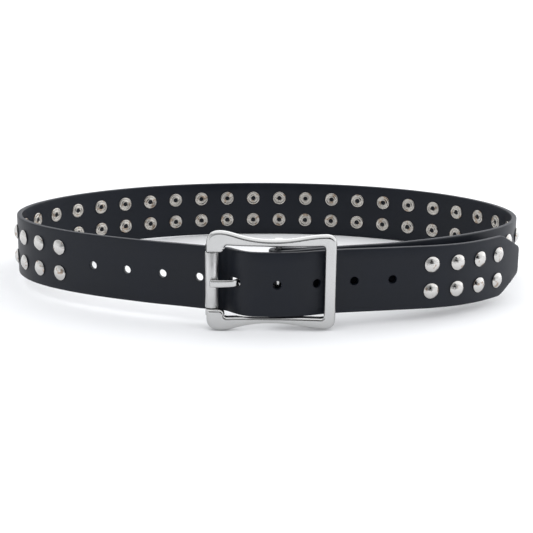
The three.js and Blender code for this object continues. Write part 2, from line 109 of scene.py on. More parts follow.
# %% Sizes of the strap and the studs
strap_width = 38
strap_thickness = 3.2
loop_length = 326.5
loop_depth = 213.4
clearance = 0.3
hole_count = 9
buckled_hole = 5
hole_pitch = 23.1
beside_buckled_hole = 24.8
buckled_hole_ahead = 0.6
hole_diameter = 4.8
last_hole_to_main_stud = 25.1
last_hole_to_tip_stud = 23.8
tip_stud_count = 4
tip_stud_pitch = 16.75
tip_stud_to_end = 26.4
main_stud_pitch = 19.41
main_stud_gaps = 22
side_stud_pitch = 17.75
side_stud_gaps = 5
stud_row_gauge = 16.1
dome_diameter = 9.5
dome_height = 2.4
chamfer_length = 22
chamfer_height = 10.7
half_thickness = strap_thickness / 2
strap_middle = strap_width / 2
stud_heights = [strap_middle - stud_row_gauge / 2, strap_middle + stud_row_gauge / 2]

# %% Sizes of the buckle
frame_length = 75.4
frame_thickness = 5
buckle_across = 3
bar_side = 3.8
bar_diameter = 4
fold_room = 0.45
bar_ride = 1.05
roller_reach = 34.5
roller_forward = 2.5
roller_diameter = 7.6
roller_length = 33
roller_wall = 1.2
roller_proud = 0.9
axle_diameter = 4.4
right_bar_width = 6.8
rail_forward = 3.5
arch_drop = 0.9
opening_half_at_waist = 20.5
opening_half_at_ends = 21.3
left_peak_half = 29.45
waist_half = 24.7
right_peak_half = 27.8
left_corner_run = 7.8
right_corner_run = 6
shoulder_width = 10.4
shoulder_cut = 2.7
strap_behind_roller = 2.4
prong_width = 3.5
prong_tip_width = 4.4
prong_thickness = 2.4
prong_eye_diameter = 8.6
prong_overrun = 0.9
half_length = loop_length / 2 - half_thickness
half_depth = loop_depth / 2 - half_thickness
bar_radius = bar_diameter / 2
fold_radius = bar_radius + fold_room + half_thickness
tip_over_bar = fold_radius + half_thickness + bar_ride + half_thickness
bar_depth_place = -loop_depth / 2 + tip_over_bar + half_thickness
bar_place = buckle_across + bar_side
buckle_middle = opening_half_at_waist - clearance
frame_left = -(roller_reach + roller_diameter / 2 - roller_proud)
frame_right = frame_left + frame_length - roller_proud
right_bar_inside = frame_right - right_bar_width
mouth_half = roller_length / 2 + clearance
print("buckle:", frame_length, "by", 2 * left_peak_half, "mm")

# %% [markdown]
# ## The line that the strap follows
#
# A leather strap bends in one direction only. So the strap can be made flat, with its holes punched,
# and then wrapped along one line in plan: from the flap behind the buckle, round the centre bar, all
# round the waist and back over the buckle to the tip. The line is a smooth curve through given points.

# %% A smooth curve through points
def curve_point(points, share):
    last = len(points) - 1
    place = min(max(share, 0), 1) * last
    k = min(int(place), last - 1)
    t = place - k
    a, b = points[k], points[k + 1]
    before = points[k - 1] if k > 0 else 2 * a - b
    after = points[k + 2] if k + 2 <= last else 2 * b - a
    gaps = [(a - before).length ** 0.5, (b - a).length ** 0.5, (after - b).length ** 0.5]
    start = (a - before) / gaps[0] - (b - before) / (gaps[0] + gaps[1]) + (b - a) / gaps[1]
    end = (b - a) / gaps[1] - (after - a) / (gaps[1] + gaps[2]) + (after - b) / gaps[2]
    start *= gaps[1]
    end *= gaps[1]
    return a + start * t + (3 * (b - a) - 2 * start - end) * t**2 + (2 * (a - b) + start + end) * t**3


# %% The points of the waist, the buckle and the tip
oval_roundness = 0.955
# each wave turns this many times round the loop: turns, side, depth
oval_waves = [
    (1, 0.0095, 0.069),
    (2, 0.0255, 0.021),
    (3, -0.0085, 0.003),
    (4, 0.0145, 0.004),
    (5, 0.001, -0.007),
]
# in the buckle: share of its length from its middle, share of the climb from behind the roller
under_passage = [(0.119, 0.61), (0.239, 0.36), (0.385, 0.007), (0.53, -0.309)]
tip_passage = [
    (-0.458, 0), (-0.341, 0.17), (-0.294, 0.42), (-0.255, 0.63), (-0.2175, 0.8), (-0.183, 0.9),
    (-0.134, 0.975), (-0.069, 1), (0.005, 0.985), (0.14, 0.912), (0.255, 0.77), (0.354, 0.555),
    (0.416, 0.4375), (0.525, 0.26),
]
# shares of half the loop's length and depth
tip_line = [
    (0.316, -0.887), (0.471, -0.838), (0.622, -0.783), (0.7355, -0.708), (0.861, -0.556),
    (0.963, -0.37), (1.02, -0.21),
]
flap_shares = [0.9, 0.75, 0.6, 0.42]


def oval_point(degrees):
    angle = math.radians(degrees)
    share = oval_roundness
    for turns, side, depth in oval_waves:
        share += side * math.cos(turns * angle) + depth * math.sin(turns * angle)
    return Vector((share * half_length * math.cos(angle), share * half_depth * math.sin(angle)))


def in_buckle(across, forward):
    return Vector((buckle_across + across, bar_depth_place - forward))


def passage_point(across, rise):
    low = roller_forward - roller_diameter / 2 - strap_behind_roller - half_thickness
    return in_buckle(across * frame_length, low + rise * (tip_over_bar - low))


under_points = [passage_point(*row) for row in under_passage]
fold_angles = [-math.pi / 2 - math.pi * k / 6 for k in range(7)]
fold_points = [
    in_buckle(bar_side + fold_radius * math.cos(a), fold_radius * math.sin(a)) for a in fold_angles
]

# the flap lies against the inner face of the strap
flap_points = []
for share in flap_shares:
    along = (curve_point(under_points, share + 1e-4) - curve_point(under_points, share - 1e-4)).normalized()
    beside = Vector((-along.y, along.x)) * (strap_thickness + clearance)
    flap_points.append(curve_point(under_points, share) + beside)
flap_points.append(in_buckle(bar_side + fold_radius * 1.3, -fold_radius * 1.03))

oval_points = [oval_point(-60 + 309 * k / 44) for k in range(45)]
tip_points = [Vector((side * half_length, depth * half_depth)) for side, depth in tip_line]
line_points = flap_points + fold_points + under_points + oval_points
line_points += [passage_point(*row) for row in tip_passage] + tip_points

# %% Lengths along the line
line_samples = 24 * len(line_points)
line_places = [curve_point(line_points, k / line_samples) for k in range(line_samples + 1)]
line_lengths = [0]
for one, other in zip(line_places, line_places[1:]):
    line_lengths.append(line_lengths[-1] + (other - one).length)


def line_point(length):
    k = min(max(bisect.bisect_right(line_lengths, length), 1), line_samples)
    share = (length - line_lengths[k - 1]) / (line_lengths[k] - line_lengths[k - 1])
    if k == line_samples or length < 0:
        return line_places[k - 1].lerp(line_places[k], share)
    return curve_point(line_points, (k - 1 + share) / line_samples)


def outward(length):
    along = (line_point(length + 0.6) - line_point(length - 0.6)).normalized()
    return Vector((along.y, -along.x))


def length_at(test, start):
    for place, length in zip(line_places, line_lengths):
        if length > start and test(place):
            return length


print("line:", round(line_lengths[-1]), "mm long")

# %% [markdown]
# The prong decides where the holes are: it comes up through the fifth one. The studs are counted from
# the holes on both sides.

# %% Where the holes and studs sit along the strap
prong_over_roller = roller_forward + roller_diameter / 2 + clearance + prong_thickness / 2 + 0.27
# share of the way from the centre bar to the roller's axle, share of the climb to the roller's front
prong_line = [
    (0.084, 0), (0.256, 0.003), (0.517, 0.027), (0.603, 0.094), (0.663, 0.348), (0.71, 0.683), (0.773, 0.91),
    (0.8825, 0.984), (1, 1),
]
# the cast prong climbs out of its hole a little more steeply
cast_line = [
    (0.084, 0), (0.256, 0.003), (0.46, 0.02), (0.545, 0.07), (0.59, 0.241), (0.617, 0.535), (0.655, 0.76),
    (0.74, 0.885), (0.87, 0.967), (1, 1),
]


def prong_track(line):
    points = [
        Vector((bar_side - reach * (roller_reach + bar_side), 0.6 + rise * (prong_over_roller - 0.6)))
        for reach, rise in line
    ]
    points.append(Vector((-roller_reach - prong_overrun, prong_over_roller)))
    return [curve_point(points, k / 60) for k in range(61)]


prong_places = prong_track(prong_line)


def prong_forward(across):
    k = next((k for k, place in enumerate(prong_places) if place.x < across), 60)
    right, left = prong_places[max(1, k) - 1], prong_places[max(1, k)]
    return right.y + (across - right.x) / (left.x - right.x) * (left.y - right.y)


def meets_prong(place):
    across = place.x - buckle_across
    return across > roller_diameter / 2 - roller_reach and bar_depth_place - place.y > prong_forward(across)


behind_bar_length = length_at(lambda place: place.x < bar_place, 0)
bar_length = length_at(lambda place: place.x > bar_place, behind_bar_length)
prong_length = length_at(meets_prong, line_lengths[-1] * 0.7)
hole_lengths = []
for k in range(hole_count):
    gaps = k - buckled_hole + 1
    spread = (gaps > 0) - (gaps < 0)
    length = prong_length + buckled_hole_ahead + gaps * hole_pitch
    hole_lengths.append(length + spread * (beside_buckled_hole - hole_pitch))
first_tip_stud = hole_lengths[-1] + last_hole_to_tip_stud
tip_studs = [first_tip_stud + k * tip_stud_pitch for k in range(tip_stud_count)]
last_main_stud = hole_lengths[0] - last_hole_to_main_stud
last_side_stud = last_main_stud - side_stud_gaps * side_stud_pitch
main_studs = [last_main_stud - k * side_stud_pitch for k in range(side_stud_gaps)]
main_studs += [last_side_stud - k * main_stud_pitch for k in range(main_stud_gaps + 1)]
stud_lengths = main_studs + tip_studs
strap_end = tip_studs[-1] + tip_stud_to_end
print("strap:", round(strap_end), "mm,", 2 * len(stud_lengths), "studs")

# %% [markdown]
# ## Two helpers
#
# A piece is built in a bmesh and becomes an object at the origin, with its place in its mesh. Corners
# sharper than 40 degrees stay sharp, and the rest is shaded smooth.

# %% Turn a bmesh into a piece
def make_piece(name, shape, materials, smooth_angle=40):
    mesh = bpy.data.meshes.new(name)
    shape.to_mesh(mesh)
    shape.free()
    mesh.shade_smooth()
    mesh.set_sharp_from_angle(angle=math.radians(smooth_angle))
    for material in materials:
        mesh.materials.append(material)
    piece = bpy.data.objects.new(name, mesh)
    bpy.context.scene.collection.objects.link(piece)
    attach(piece, "root")
    print(name + ":", len(mesh.polygons), "faces")
    return piece


# %% Turn a half outline round the Z axis
def turned_shape(rows, sides):
    shape = bmesh.new()
    chain = [shape.verts.new((radius, 0, height)) for radius, height in rows]
    edges = [shape.edges.new(pair) for pair in zip(chain, chain[1:])]
    bmesh.ops.spin(
        shape, geom=chain + edges, cent=(0, 0, 0), axis=(0, 0, 1), angle=math.tau, steps=sides,
        use_merge=True,
    )
    bmesh.ops.remove_doubles(shape, verts=shape.verts, dist=1e-4)
    bmesh.ops.recalc_face_normals(shape, faces=shape.faces)
    return shape


# %% Put copies of a shape at several places
def copies(template, places):
    mesh = bpy.data.meshes.new("template")
    template.to_mesh(mesh)
    template.free()
    shape = bmesh.new()
    for place in places:
        count = len(shape.verts)
        shape.from_mesh(mesh)
        shape.verts.ensure_lookup_table()
        bmesh.ops.transform(shape, matrix=place, verts=shape.verts[count:])
    bpy.data.meshes.remove(mesh)
    return shape


# %% Combine two shapes with a Boolean modifier
def combined(shape, other, operation):
    objects = []
    for part in (shape, other):
        mesh = bpy.data.meshes.new("part")
        part.to_mesh(mesh)
        part.free()
        objects.append(bpy.data.objects.new("part", mesh))
        bpy.context.scene.collection.objects.link(objects[-1])
    modifier = objects[0].modifiers.new("combine", "BOOLEAN")
    modifier.operation = operation
    modifier.solver = "EXACT"
    modifier.object = objects[1]
    result = bmesh.new()
    result.from_object(objects[0], bpy.context.evaluated_depsgraph_get())
    for part in objects:
        mesh = part.data
        bpy.data.objects.remove(part)
        bpy.data.meshes.remove(mesh)
    return result


# %% [markdown]
# ## Patterns that several finishes share
#
# A node group holds an effect that more than one material uses. It puts out masks and heights only,
# and each material gives it its own values.

# %% Helpers for node groups
def new_group(name, inputs, outputs):
    group = bpy.data.node_groups.new(name, "ShaderNodeTree")
    for socket, value in inputs.items():
        made = group.interface.new_socket(socket, in_out="INPUT", socket_type="NodeSocketFloat")
        made.default_value = value
    for socket in outputs:
        group.interface.new_socket(socket, in_out="OUTPUT", socket_type="NodeSocketFloat")
    return group, group.nodes.new("NodeGroupInput"), group.nodes.new("NodeGroupOutput")


def add(tree, kind, **values):
    node = tree.nodes.new(kind)
    for key, value in values.items():
        setattr(node, key, value)
    return node


def sum_of(tree, operation, one, other):
    node = add(tree, "ShaderNodeMath", operation=operation)
    for socket, value in zip(node.inputs, (one, other)):
        if isinstance(value, (int, float)):
            socket.default_value = value
        else:
            tree.links.new(value, socket)
    return node.outputs[0]


def object_noise(tree, scale, detail, stretch=(1, 1, 1)):
    place = add(tree, "ShaderNodeTexCoord")
    mapping = add(tree, "ShaderNodeMapping")
    mapping.inputs["Scale"].default_value = stretch
    tree.links.new(place.outputs["Object"], mapping.inputs["Vector"])
    pattern = add(tree, "ShaderNodeTexNoise")
    pattern.inputs["Detail"].default_value = detail
    tree.links.new(mapping.outputs["Vector"], pattern.inputs["Vector"])
    if isinstance(scale, (int, float)):
        pattern.inputs["Scale"].default_value = scale
    else:
        tree.links.new(scale, pattern.inputs["Scale"])
    return pattern.outputs["Fac"]


def ramp(tree, value, low, high, out_low=0.0, out_high=1.0):
    node = add(tree, "ShaderNodeMapRange")
    node.interpolation_type = "SMOOTHSTEP"
    for socket, number in zip(("From Min", "From Max", "To Min", "To Max"), (low, high, out_low, out_high)):
        node.inputs[socket].default_value = number
    tree.links.new(value, node.inputs["Value"])
    return node.outputs["Result"]


# %% Fine leather grain with faint cloudiness
grain_group, grain_in, grain_out = new_group(
    "leather grain", {"Pore Scale": 1400.0, "Cloud Scale": 45.0}, ["Height", "Cloud"],
)
pores = add(grain_group, "ShaderNodeTexVoronoi", feature="SMOOTH_F1")
pores.inputs["Smoothness"].default_value = 0.4
place = add(grain_group, "ShaderNodeTexCoord")
grain_group.links.new(place.outputs["Object"], pores.inputs["Vector"])
grain_group.links.new(grain_in.outputs["Pore Scale"], pores.inputs["Scale"])
creases = object_noise(grain_group, 420.0, 4.0)
grain = sum_of(grain_group, "MULTIPLY", pores.outputs["Distance"], 0.5)
grain = sum_of(grain_group, "ADD", grain, creases)
grain_group.links.new(grain, grain_out.inputs["Height"])
cloud = object_noise(grain_group, grain_in.outputs["Cloud Scale"], 3.0)
grain_group.links.new(cloud, grain_out.inputs["Cloud"])

# %% Small marks on metal
marks_group, marks_in, marks_out = new_group(
    "metal marks",
    {"Scratch Scale": 300.0, "Spot Scale": 260.0, "Spot Start": 0.62},
    ["Scratch", "Spot", "Haze"],
)
scratch = object_noise(marks_group, marks_in.outputs["Scratch Scale"], 3.0, (1, 1, 6))
marks_group.links.new(scratch, marks_out.inputs["Scratch"])
spot = object_noise(marks_group, marks_in.outputs["Spot Scale"], 2.0)
over = sum_of(marks_group, "SUBTRACT", spot, marks_in.outputs["Spot Start"])
spot_mask = ramp(marks_group, over, 0.0, 0.06)
marks_group.links.new(spot_mask, marks_out.inputs["Spot"])
haze = object_noise(marks_group, 90.0, 2.0)
marks_group.links.new(haze, marks_out.inputs["Haze"])
print("groups:", grain_group.name, "and", marks_group.name)

# %% [markdown]
# ## Leather
#
# Belt leather of this kind is dyed black through and finished smooth, so its face has a satin sheen, a very
# fine grain and faint clouds.
# Its edges are painted and a little greyer, and their colour is lifted further as a painted highlight.

# %% The leather material
def principled(name):
    material = bpy.data.materials.new(name)
    material.use_nodes = True
    return material, material.node_tree, material.node_tree.nodes["Principled BSDF"]


def place_group(tree, group, **values):
    node = add(tree, "ShaderNodeGroup", node_tree=group)
    for key, value in values.items():
        node.inputs[key.replace("_", " ")].default_value = value
    return node


def mixed(tree, factor, one, other):
    node = add(tree, "ShaderNodeMix", data_type="RGBA")
    for socket, colour in ((node.inputs[6], one), (node.inputs[7], other)):
        if isinstance(colour, tuple):
            socket.default_value = (*colour, 1)
        else:
            tree.links.new(colour, socket)
    tree.links.new(factor, node.inputs[0])
    return node.outputs[2]


def bump(tree, shader, height, distance, strength=1.0):
    node = add(tree, "ShaderNodeBump")
    node.inputs["Strength"].default_value = strength
    node.inputs["Distance"].default_value = distance
    tree.links.new(height, node.inputs["Height"])
    tree.links.new(node.outputs["Normal"], shader.inputs["Normal"])


def leather_material(name, dark, light, roughness, pore_scale, depth):
    material, tree, shader = principled(name)
    grain_node = place_group(tree, grain_group, Pore_Scale=pore_scale)
    clouds = ramp(tree, grain_node.outputs["Cloud"], 0.35, 0.65)
    tree.links.new(mixed(tree, clouds, dark, light), shader.inputs["Base Color"])
    rough = ramp(tree, grain_node.outputs["Cloud"], 0.3, 0.7, roughness - 0.04, roughness + 0.05)
    tree.links.new(rough, shader.inputs["Roughness"])
    bump(tree, shader, grain_node.outputs["Height"], depth)
    shader.inputs["Specular IOR Level"].default_value = 0.25
    return material


face_leather = leather_material(
    "face leather", (0.0042, 0.006, 0.0105), (0.0052, 0.0072, 0.0125), 0.42, 1400.0, 0.00002,
)
# the edge colour is the painted edge's grey, lifted further as a painted highlight
edge_leather_and_highlight = leather_material(
    "edge leather", (0.035, 0.037, 0.044), (0.055, 0.057, 0.066), 0.6, 2200.0, 0.00004,
)

# %% [markdown]
# ## The strap
#
# The real strap is cut flat from a hide, its edges are rounded and its holes are punched before it is
# bent. The same order works here. A box is cut at its corners, bevelled, punched with a Boolean and
# sliced across, so that it can bend. Last, each vertex is wrapped along the line.

# %% Cut the flat strap
strap = bmesh.new()
bmesh.ops.create_cube(strap, size=1)
bmesh.ops.transform(
    strap,
    matrix=Matrix.Translation((strap_end / 2, 0, strap_middle))
    @ Matrix.Diagonal((strap_end, strap_thickness, strap_width, 1)),
    verts=strap.verts,
)
for side in (1, -1):
    cut = bmesh.ops.bisect_plane(
        strap,
        geom=strap.verts[:] + strap.edges[:] + strap.faces[:],
        plane_co=(strap_end, 0, strap_middle + side * (strap_middle - chamfer_height)),
        plane_no=(chamfer_height, 0, side * chamfer_length),
        clear_outer=True,
    )
    rim = [part for part in cut["geom_cut"] if isinstance(part, bmesh.types.BMEdge)]
    bmesh.ops.edgeloop_fill(strap, edges=rim)


def is_broad(face):
    return abs(face.normal.y) > 0.9


tip_corners = [
    edge for edge in strap.edges
    if min(vert.co.x for vert in edge.verts) > strap_end - chamfer_length - 0.5
    and abs(edge.verts[0].co.y - edge.verts[1].co.y) > strap_thickness / 2
]
bmesh.ops.bevel(
    strap, geom=tip_corners, offset=2.2, offset_type="OFFSET", segments=4, profile=0.5, affect="EDGES",
    clamp_overlap=False, material=-1,
)
strap.normal_update()
rims = [edge for edge in strap.edges if sum(is_broad(face) for face in edge.link_faces) == 1]
bmesh.ops.bevel(
    strap, geom=rims, offset=0.75, offset_type="OFFSET", segments=3, profile=0.5, affect="EDGES",
    clamp_overlap=False, material=-1,
)
print("flat strap:", len(strap.faces), "faces")

# %% Punch the holes
def punch(length, height, radius, stretch=0.0):
    t = half_thickness
    cutter = turned_shape([
        (0, -t - 0.5), (radius + 0.9, -t - 0.5), (radius + 0.3, -t), (radius + 0.06, 0.35 - t),
        (radius, 0.8 - t), (radius, t - 0.8), (radius + 0.06, t - 0.35), (radius + 0.3, t),
        (radius + 0.9, t + 0.5), (0, t + 0.5),
    ], 32)
    for vert in cutter.verts:
        vert.co.x += math.copysign(stretch, vert.co.x) if abs(vert.co.x) > 1e-5 else 0
    across = Matrix.Rotation(math.radians(90), 4, "X")
    bmesh.ops.transform(cutter, matrix=Matrix.Translation((length, 0, height)) @ across, verts=cutter.verts)
    return cutter


def merged(shapes):
    whole = bmesh.new()
    for shape in shapes:
        mesh = bpy.data.meshes.new("one")
        shape.to_mesh(mesh)
        shape.free()
        whole.from_mesh(mesh)
        bpy.data.meshes.remove(mesh)
    return whole


punches = [
    punch(length, strap_middle, hole_diameter / 2)
    for k, length in enumerate(hole_lengths)
    if k != buckled_hole - 1
]
punches.append(punch(prong_length, strap_middle + 0.1, 2.375, 2.0))
slot_ends = (
    length_at(lambda place: place.x < bar_place + 5.8, 0),
    length_at(lambda place: place.x > bar_place + 5.8, behind_bar_length),
)
slot_middle = sum(slot_ends) / 2
punches.append(punch(slot_middle, strap_middle + 0.1, 2.35, (slot_ends[1] - slot_ends[0]) / 2 - 2.35))
flap_rivet_length = length_at(lambda place: place.x > buckle_across + 0.32 * frame_length, bar_length)
strap = combined(strap, merged(punches), "DIFFERENCE")
print("punched strap:", len(strap.faces), "faces")

# %% Slice it and wrap it along the line
def slice_step(length):
    place = line_point(length)
    if length < bar_length + fold_radius and place.x < bar_place + fold_radius:
        return 0.55
    return 1.6 if place.y < 0 and abs(place.x - buckle_across) < frame_length / 2 else 3.2


def slice_across(shape, place, direction):
    everything = shape.verts[:] + shape.edges[:] + shape.faces[:]
    bmesh.ops.bisect_plane(shape, geom=everything, plane_co=place, plane_no=direction, dist=0.01)


for height in (6.5, 12.5, 25.5, 31.5):
    slice_across(strap, (0, 0, height), (0, 0, 1))
mark = slice_step(0)
while mark < strap_end - 1.5:
    slice_across(strap, (mark, 0, 0), (1, 0, 0))
    mark += slice_step(mark)


def wrap(shape):
    seen = {}
    for vert in shape.verts:
        length, out, height = vert.co
        key = round(length, 3)
        if key not in seen:
            seen[key] = (line_point(length), outward(length))
        place, direction = seen[key]
        vert.co = (place.x + direction.x * out, place.y + direction.y * out, height)


# edge faces take the edge leather: greyer edge paint whose colour is also lifted as a painted highlight
edge_paint_and_highlight = strap.verts.layers.float.new("edge")
for vert in strap.verts:
    from_edge = min(vert.co.z, strap_width - vert.co.z, vert.co.x, strap_end - vert.co.x)
    vert[edge_paint_and_highlight] = 1.0 if from_edge < 0.5 and abs(vert.co.y) < half_thickness - 0.3 else 0.0
wrap(strap)
bmesh.ops.remove_doubles(strap, verts=strap.verts, dist=1e-3)
for face in strap.faces:
    face.material_index = 1 if all(vert[edge_paint_and_highlight] > 0.5 for vert in face.verts) else 0
bmesh.ops.transform(strap, matrix=rest, verts=strap.verts)
bmesh.ops.recalc_face_normals(strap, faces=strap.faces)
leather_strap = make_piece("leather_strap", strap, [face_leather, edge_leather_and_highlight])
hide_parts("studded_strap")

# %% [markdown]
# ## Metals
#
# The studs are pressed from thin sheet and plated, so they are bright, with faint dents and a few brown
# spots where the plating has tarnished. The buckle is cast and plated. It is a little softer, with fine
# polishing lines.

# %% The metal materials
def metal_material(name, colour, tarnish, roughness, spot_start, scratch_depth, scratch_scale=300.0):
    material, tree, shader = principled(name)
    marks = place_group(tree, marks_group, Scratch_Scale=scratch_scale, Spot_Start=spot_start)
    tree.links.new(mixed(tree, marks.outputs["Spot"], colour, tarnish), shader.inputs["Base Color"])
    rough = ramp(tree, marks.outputs["Haze"], 0.3, 0.7, roughness * 0.8, roughness * 1.25)
    tree.links.new(rough, shader.inputs["Roughness"])
    bump(tree, shader, marks.outputs["Scratch"], scratch_depth)
    shader.inputs["Metallic"].default_value = 1.0
    return material


head_metal = metal_material("stud heads", (0.54, 0.53, 0.515), (0.36, 0.29, 0.24), 0.1, 0.6, 0.00013)
back_metal = metal_material("rivet backs", (0.5, 0.475, 0.44), (0.36, 0.29, 0.23), 0.27, 0.57, 0.00005)
cast_nickel, worn_nickel = (0.5, 0.5, 0.497), (0.45, 0.45, 0.445)
cast_metal = metal_material("buckle nickel", cast_nickel, worn_nickel, 0.17, 0.7, 0.00001, 500.0)
tube_metal = metal_material(
    "roller nickel", (0.57, 0.57, 0.567), (0.5, 0.5, 0.495), 0.42, 0.7, 0.00002, 500.0,
)
pin_metal = metal_material("prong nickel", cast_nickel, worn_nickel, 0.17, 0.7, 0.00001, 500.0)
pin_tree = pin_metal.node_tree
pin_shader = pin_tree.nodes["Principled BSDF"]
bright = pin_shader.inputs["Base Color"].links[0].from_socket
# painted shade: where the strap covers the prong, its colour is mixed to near black
mask = add(pin_tree, "ShaderNodeAttribute", attribute_name="painted_shade_under_strap")
shaded = mixed(pin_tree, mask.outputs["Fac"], bright, (0.012, 0.012, 0.013))
pin_tree.links.new(shaded, pin_shader.inputs["Base Color"])

# %% [markdown]
# ## The studs
#
# Each stud is a low dome on the outside with a rivet back on the inside. Half an outline is turned once
# for each, and copied to all the places, because all studs are alike.

# %% Places along the strap
def strap_place(length, height, out=0.0):
    direction = outward(length)
    middle = line_point(length) + direction * out
    along = Vector((direction.y, -direction.x))
    return Matrix((
        (along.x, 0, direction.x, middle.x),
        (along.y, 0, direction.y, middle.y),
        (0, -1, 0, height),
        (0, 0, 0, 1),
    ))


def dome_rows():
    rim = dome_diameter / 2
    cap = dome_height - 0.55
    radius = (rim ** 2 + cap ** 2) / (2 * cap)
    rows = []
    for k in range(11):
        out = rim * (1 - (1 - k / 10) ** 1.4)
        rows.append((out, half_thickness + dome_height - radius + math.sqrt(radius ** 2 - out ** 2)))
    rows[-1] = (rim - 0.07, half_thickness + 0.62)
    return rows + [
        (rim, half_thickness + 0.45), (rim - 0.06, half_thickness + 0.25),
        (rim - 0.35, half_thickness + 0.05), (rim - 0.6, half_thickness - 0.1), (0, half_thickness - 0.2),
    ]


stud_places = [(length, height) for length in stud_lengths for height in stud_heights]
chance = random.Random(7)
head_places = []
for length, height in stud_places:
    tilt = Matrix.Rotation(math.radians(chance.uniform(-1.2, 1.2)), 4, "X")
    turn = Matrix.Rotation(chance.uniform(0, math.tau), 4, "Z")
    head_places.append(rest @ strap_place(length, height) @ tilt @ turn)
heads = copies(turned_shape(dome_rows(), 36), head_places)
bmesh.ops.recalc_face_normals(heads, faces=heads.faces)
stud_heads = make_piece("stud_heads", heads, [head_metal])
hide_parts("studded_strap")

# %% The rivet backs
t = half_thickness
ring_rows = [
    (0, 0.2 - t), (4.7, 0.2 - t), (4.8, -t - 0.2), (4.7, -t - 0.5), (4.4, -t - 0.72), (4.0, -t - 0.8),
    (3.55, -t - 0.74), (3.3, -t - 0.58), (3.1, -t - 0.56), (2.9, -t - 0.66), (2.6, -t - 0.92),
    (2.3, -t - 1.0),
    (1.95, -t - 0.96), (1.65, -t - 0.75), (1.45, -t - 0.3), (1.4, 0.1 - t), (0, 0.12 - t),
]
back_places = []
for length, height in stud_places:
    tilt = Matrix.Rotation(math.radians(chance.uniform(-1, 1)), 4, "X")
    turn = Matrix.Rotation(chance.uniform(0, math.tau), 4, "Z")
    back_places.append(rest @ strap_place(length, height) @ tilt @ turn)
backs = copies(turned_shape(ring_rows, 24), back_places)
bmesh.ops.recalc_face_normals(backs, faces=backs.faces)
rivet_backs = make_piece("rivet_backs", backs, [back_metal], 55)
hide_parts("studded_strap")

# %% [markdown]
# ## The buckle
#
# The casting is an open plate, curved to the body, with two deep shoulders that hold the axle of the
# roller, and a bar across its middle that the strap is folded round. The plate is drawn as an outline,
# extruded, bevelled all round and sliced so that it can be arched.

# %% The outline of the plate
def bend(start, first, second, end, steps=14):
    points = interpolate_bezier(Vector(start), Vector(first), Vector(second), Vector(end), steps)
    return [Vector((point.x, point.y)) for point in points]


def upper_edge():
    peak = frame_left + left_corner_run
    right_peak = frame_right - right_corner_run
    waist = frame_length * 0.013
    drop = left_corner_run * 0.33
    right_drop = right_corner_run * 0.33
    rows = [Vector((frame_left, mouth_half))]
    rows += bend(
        (frame_left, left_peak_half - left_corner_run * 0.9), (frame_left, left_peak_half - drop),
        (frame_left + left_corner_run * 0.38, left_peak_half), (peak, left_peak_half),
    )
    rows += bend(
        (peak, left_peak_half), (peak + frame_length * 0.106, left_peak_half),
        (peak + frame_length * 0.16, waist_half), (waist, waist_half), 24,
    )[1:]
    rows += bend(
        (waist, waist_half), (frame_length * 0.186, waist_half),
        (frame_length * 0.28, right_peak_half), (right_peak, right_peak_half), 24,
    )[1:]
    rows += bend(
        (right_peak, right_peak_half), (frame_right - right_drop, right_peak_half),
        (frame_right, right_peak_half - right_drop), (frame_right, right_peak_half - right_corner_run),
    )[1:]
    return rows


def upper_opening():
    inside = frame_left + shoulder_width
    corner = 1.8
    rows = bend(
        (right_bar_inside, opening_half_at_ends - corner),
        (right_bar_inside, opening_half_at_ends - corner * 0.4),
        (right_bar_inside - corner * 0.4, opening_half_at_ends),
        (right_bar_inside - corner, opening_half_at_ends - 0.1),
        6,
    )
    rows += bend(
        (right_bar_inside - corner, opening_half_at_ends - 0.1), (frame_length * 0.16, opening_half_at_waist),
        (-frame_length * 0.16, opening_half_at_waist), (inside + corner, opening_half_at_ends - 0.1), 30,
    )[1:]
    rows += bend(
        (inside + corner, opening_half_at_ends - 0.1), (inside + corner * 0.4, opening_half_at_ends),
        (inside, opening_half_at_ends - corner * 0.4), (inside, opening_half_at_ends - corner), 6,
    )[1:]
    rows += bend(
        (inside, mouth_half + shoulder_cut), (inside, mouth_half + shoulder_cut * 0.4),
        (inside - shoulder_cut * 0.6, mouth_half), (inside - shoulder_cut, mouth_half), 7,
    )
    return rows


def lowered(points):
    return [Vector((point.x, -point.y)) for point in reversed(points)]


edge_rows = upper_edge()
opening_rows = upper_opening()
outline = edge_rows + lowered(edge_rows) + lowered(opening_rows) + opening_rows
print("outline:", len(outline), "points")

# %% Extrude, bevel, slice and arch the plate
plate = bmesh.new()
ring = [plate.verts.new((point.x, point.y, rail_forward)) for point in outline]
bottom = plate.faces.new(ring)
raised = bmesh.ops.extrude_face_region(plate, geom=[bottom], use_keep_orig=True)
top = [part for part in raised["geom"] if isinstance(part, bmesh.types.BMVert)]
bmesh.ops.translate(plate, vec=(0, 0, frame_thickness), verts=top)
bmesh.ops.recalc_face_normals(plate, faces=plate.faces)
for side, offset, steps in ((-1, 1.0, 3), (1, 1.9, 7)):
    rims = [edge for edge in plate.edges if sum(side * face.normal.z > 0.99 for face in edge.link_faces) == 1]
    bmesh.ops.bevel(
        plate, geom=rims, offset=offset, offset_type="OFFSET", segments=steps, profile=0.5, affect="EDGES",
        clamp_overlap=False, material=-1,
    )
    plate.normal_update()
for k in range(1, 42):
    slice_across(plate, (frame_left + k * 1.8, 0, 0), (1, 0, 0))
for vert in plate.verts:
    vert.co.z -= arch_drop * (vert.co.x / frame_right) ** 2
bmesh.ops.remove_doubles(plate, verts=plate.verts, dist=1e-3)
bmesh.ops.recalc_face_normals(plate, faces=plate.faces)
print("plate:", len(plate.faces), "faces")

